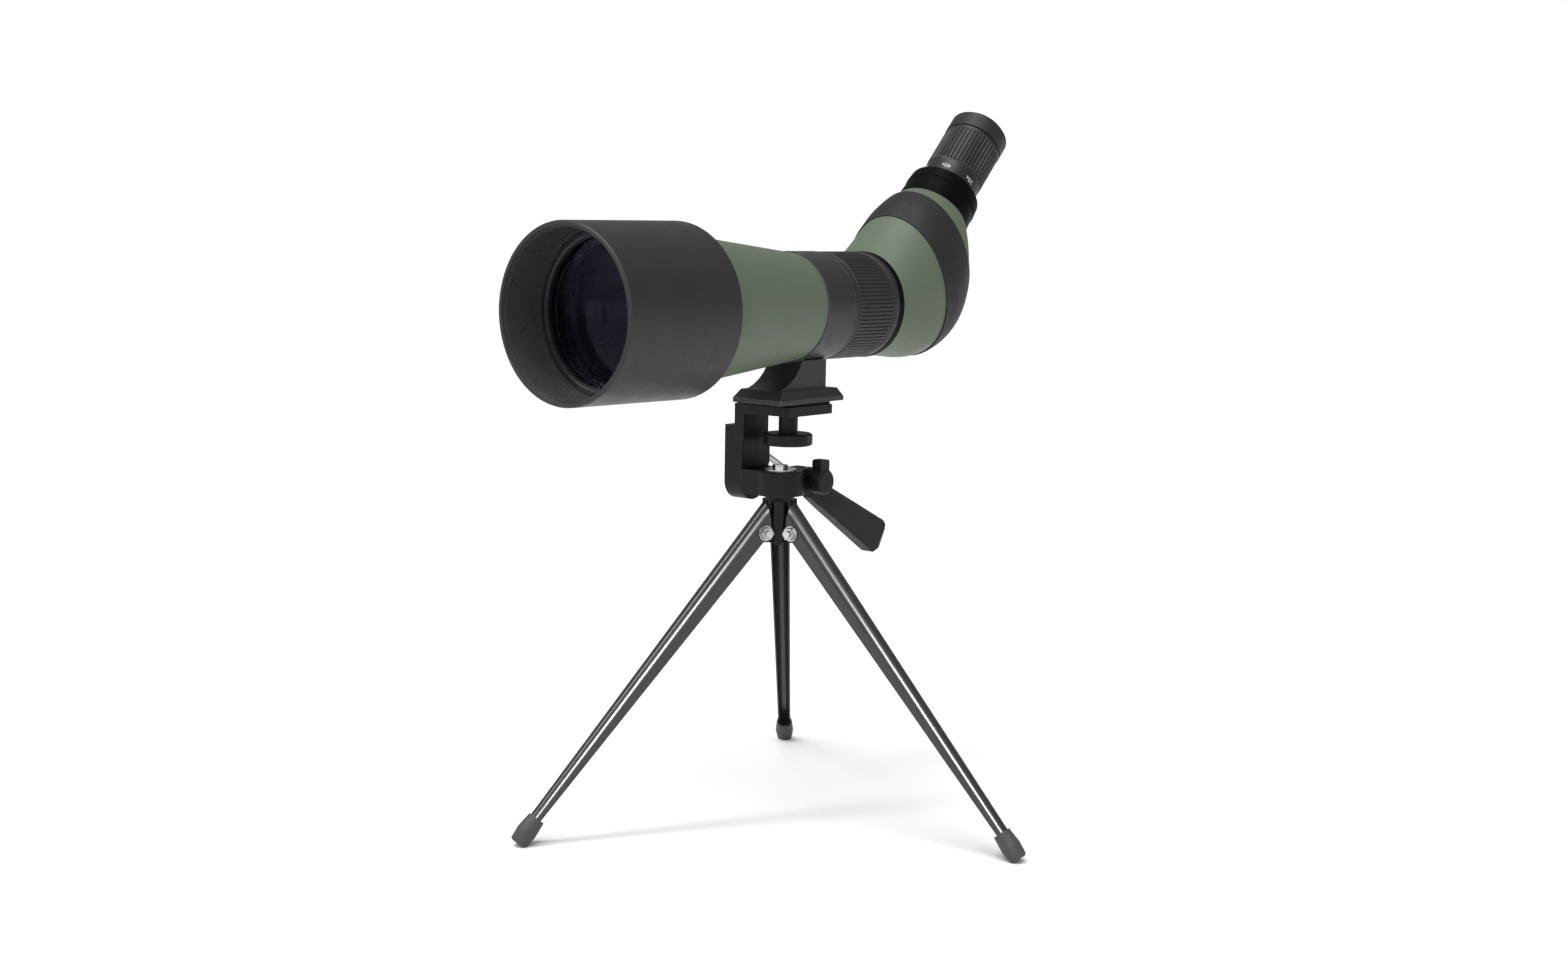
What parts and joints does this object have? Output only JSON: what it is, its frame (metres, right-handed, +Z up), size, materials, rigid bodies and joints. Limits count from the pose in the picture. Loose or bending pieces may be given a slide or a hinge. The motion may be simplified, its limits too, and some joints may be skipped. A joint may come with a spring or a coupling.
{
  "type": "spotting scope",
  "caption": "Angled spotting scope with a sliding sunshade, ring focus and twist-up zoom eyepiece, on a folding tabletop tripod with a pan and tilt head.",
  "frame": {"origin": "on the floor, on the tripod's vertical pan axis", "axes": "+X the way the scope looks, +Y the scope's left side, +Z up"},
  "size_m": [0.3997, 0.267, 0.4277],
  "materials": {
    "hood_black": "satin moulded",
    "cell_black": "matte black anodised",
    "coated_glass": "coated",
    "optical_glass": "polished",
    "green_paint": "satin olive green",
    "collar_black": "satin black",
    "ring_rubber": "fine ribbed",
    "trim_black": "satin",
    "armour_rubber": "matte",
    "inner_black": "matte",
    "inner_metal": "matte anodised",
    "brass_screw": "bright",
    "eye_black": "satin",
    "eye_rubber": "soft",
    "head_plastic": "satin blue-black",
    "pad_rubber": "matte",
    "bright_steel": "polished",
    "zinc_steel": "plated",
    "leg_paint": "gloss black",
    "foot_rubber": "matte"
  },
  "bodies": {
    "stand": {"leg_hub": "head_plastic", "leg_bolts": "zinc_steel", "leg_washers": "bright_steel", "leg_nuts": "bright_steel", "pan_washer": "zinc_steel", "pan_screw": "bright_steel"},
    "leg_1": {"leg_1": "leg_paint", "foot_cap_1": "foot_rubber"},
    "leg_2": {"leg_2": "leg_paint", "foot_cap_2": "foot_rubber"},
    "leg_3": {"leg_3": "leg_paint", "foot_cap_3": "foot_rubber"},
    "pan_base": {"pan_base": "head_plastic", "pan_lock_nut": "bright_steel", "tilt_bolt": "bright_steel", "tilt_washer": "zinc_steel"},
    "pan_lock": {"pan_lock_lever": "head_plastic", "pan_lock_screw": "bright_steel"},
    "tilt_head": {"tilt_bracket": "head_plastic", "head_pad": "pad_rubber", "mount_collar": "collar_black", "main_tube": "green_paint", "objective_cell": "cell_black", "crown_lens": "coated_glass", "lens_spacer": "inner_black", "flint_lens": "optical_glass", "objective_retaining_ring": "cell_black", "tube_baffle": "inner_black", "focus_retaining_ring": "trim_black", "prism_housing_front": "green_paint", "prism_housing_rear": "green_paint", "armour_band": "armour_rubber", "prism_cage": "inner_metal", "cage_screws": "brass_screw", "half_penta_prism": "optical_glass", "roof_prism": "optical_glass", "eyepiece_collar": "trim_black", "eyepiece_barrel": "inner_metal", "eye_lens": "coated_glass", "eye_lens_ring": "cell_black"},
    "camera_screw": {"camera_screw": "zinc_steel", "thumb_wheel": "head_plastic"},
    "handle": {"handle_rod": "bright_steel", "handle_grip": "head_plastic"},
    "sunshade": {"sunshade": "hood_black"},
    "focus_ring": {"focus_ring": "ring_rubber", "focus_cam_sleeve": "inner_metal"},
    "focus_carriage": {"focus_carriage": "inner_metal", "focus_lens": "optical_glass"},
    "zoom_ring": {"zoom_ring": "eye_black", "zoom_cam_sleeve": "inner_metal"},
    "zoom_front_group": {"zoom_front_carrier": "inner_metal", "zoom_front_lens": "optical_glass"},
    "zoom_rear_group": {"zoom_rear_carrier": "inner_metal", "zoom_rear_lens": "optical_glass"},
    "eyecup_sleeve": {"eyecup_sleeve": "inner_black"},
    "eyecup": {"eyecup": "eye_rubber"}
  },
  "joints": [
    {"name": "leg_1_fold", "type": "hinge", "parent": "stand", "child": "leg_1", "pos_m": [-0.00128, 0.01193, 0.172], "axis": [-0.9943, -0.1063, 0], "range_deg": [0, 38]},
    {"name": "leg_2_fold", "type": "hinge", "parent": "stand", "child": "leg_2", "pos_m": [-0.0097, -0.00707, 0.172], "axis": [0.5892, -0.808, 0], "range_deg": [0, 38]},
    {"name": "leg_3_fold", "type": "hinge", "parent": "stand", "child": "leg_3", "pos_m": [0.01097, -0.00486, 0.172], "axis": [0.4051, 0.9143, 0], "range_deg": [0, 38]},
    {"name": "pan", "type": "hinge", "parent": "stand", "child": "pan_base", "pos_m": [0, 0, 0.2], "axis": [0, 0, 1], "continuous": true},
    {"name": "pan_lock_turn", "type": "hinge", "parent": "pan_base", "child": "pan_lock", "pos_m": [-0.0206, 0, 0.201], "axis": [0, 1, 0], "range_deg": [-100, 15]},
    {"name": "tilt", "type": "hinge", "parent": "pan_base", "child": "tilt_head", "pos_m": [0.0012, 0, 0.2005], "axis": [0, 1, 0], "range_deg": [-15, 45]},
    {"name": "camera_screw_turn", "type": "hinge", "parent": "tilt_head", "child": "camera_screw", "pos_m": [-0.0069, 0, 0.235], "axis": [0, 0, 1], "continuous": true},
    {"name": "handle_twist", "type": "hinge", "parent": "tilt_head", "child": "handle", "pos_m": [-0.013, -0.0259, 0.2166], "axis": [-0.8746, 0, -0.4848], "range_deg": [0, 180]},
    {"name": "sunshade_slide", "type": "slide", "parent": "tilt_head", "child": "sunshade", "axis": [-1, 0, 0], "range_m": [0, 0.026]},
    {"name": "focus_turn", "type": "hinge", "parent": "tilt_head", "child": "focus_ring", "pos_m": [-0.05, 0, 0.3046], "axis": [1, 0, 0], "range_deg": [-200, 200]},
    {"name": "focus_travel", "type": "slide", "parent": "tilt_head", "child": "focus_carriage", "axis": [1, 0, 0], "range_m": [-0.0082, 0.0082]},
    {"name": "zoom_turn", "type": "hinge", "parent": "tilt_head", "child": "zoom_ring", "pos_m": [-0.18041, 0, 0.3896], "axis": [-0.7059, 0, 0.7083], "range_deg": [-55, 55]},
    {"name": "zoom_front_travel", "type": "slide", "parent": "tilt_head", "child": "zoom_front_group", "axis": [-0.7059, 0, 0.7083], "range_m": [-0.0041, 0.0041]},
    {"name": "zoom_rear_travel", "type": "slide", "parent": "tilt_head", "child": "zoom_rear_group", "axis": [-0.7059, 0, 0.7083], "range_m": [-0.0026, 0.0026]},
    {"name": "eyecup_rise", "type": "slide", "parent": "tilt_head", "child": "eyecup_sleeve", "axis": [-0.7059, 0, 0.7083], "range_m": [0, 0.0066]},
    {"name": "eyecup_turn", "type": "hinge", "parent": "eyecup_sleeve", "child": "eyecup", "pos_m": [-0.20158, 0, 0.41085], "axis": [-0.7059, 0, 0.7083], "range_deg": [0, 180]}
  ],
  "couplings": [
    {"joint": "focus_travel", "follows": "focus_turn", "m_per_rad": -0.0022918},
    {"joint": "zoom_front_travel", "follows": "zoom_turn", "m_per_rad": -0.004138},
    {"joint": "zoom_rear_travel", "follows": "zoom_turn", "m_per_rad": 0.0025465},
    {"joint": "eyecup_rise", "follows": "eyecup_turn", "m_per_rad": 0.002069}
  ]
}
